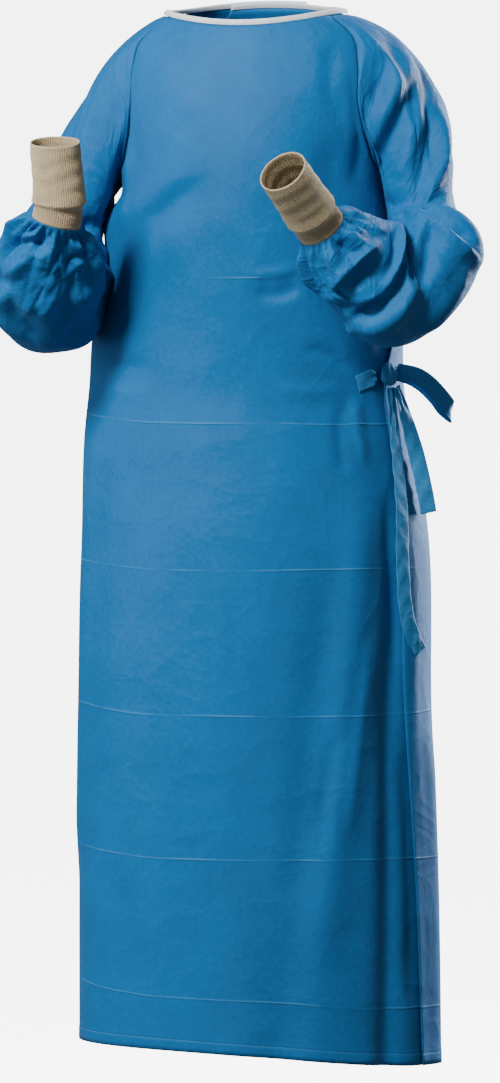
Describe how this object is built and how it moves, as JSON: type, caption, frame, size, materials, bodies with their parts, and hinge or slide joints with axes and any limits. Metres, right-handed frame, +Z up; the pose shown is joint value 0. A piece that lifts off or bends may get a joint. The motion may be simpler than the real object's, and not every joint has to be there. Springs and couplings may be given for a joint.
{
  "type": "surgical gown",
  "caption": "Long-sleeved surgical gown in its worn form: wrapped back, raglan sleeves gathered to knitted cuffs, bound neckline and ties knotted at the waist.",
  "frame": {"origin": "the middle of the neck opening at the height of its binding, where the wearer's shoulders and neck hold the gown up", "axes": "+Z up, the wearer faces -Y, the wearer's left is +X"},
  "size_m": [0.6005, 0.4626, 1.2718],
  "materials": {
    "blue_nonwoven": "matte spunbond nonwoven with a faint sheen",
    "cream_knit": "ribbed elastic knit",
    "white_tape": "folded white binding tape",
    "pale_hook_tape": "pale hook-and-loop tape"
  },
  "bodies": {
    "root": {"front": "blue_nonwoven", "back_left": "blue_nonwoven", "back_right": "blue_nonwoven", "sleeve_left": "blue_nonwoven", "sleeve_right": "blue_nonwoven", "tie_front": "blue_nonwoven", "waist_knot": "blue_nonwoven", "bow_loop": "blue_nonwoven", "tail_long": "blue_nonwoven", "tail_short": "blue_nonwoven", "cuff_left": "cream_knit", "cuff_right": "cream_knit", "neck_binding": "white_tape", "neck_fastener": "pale_hook_tape"}
  },
  "joints": []
}
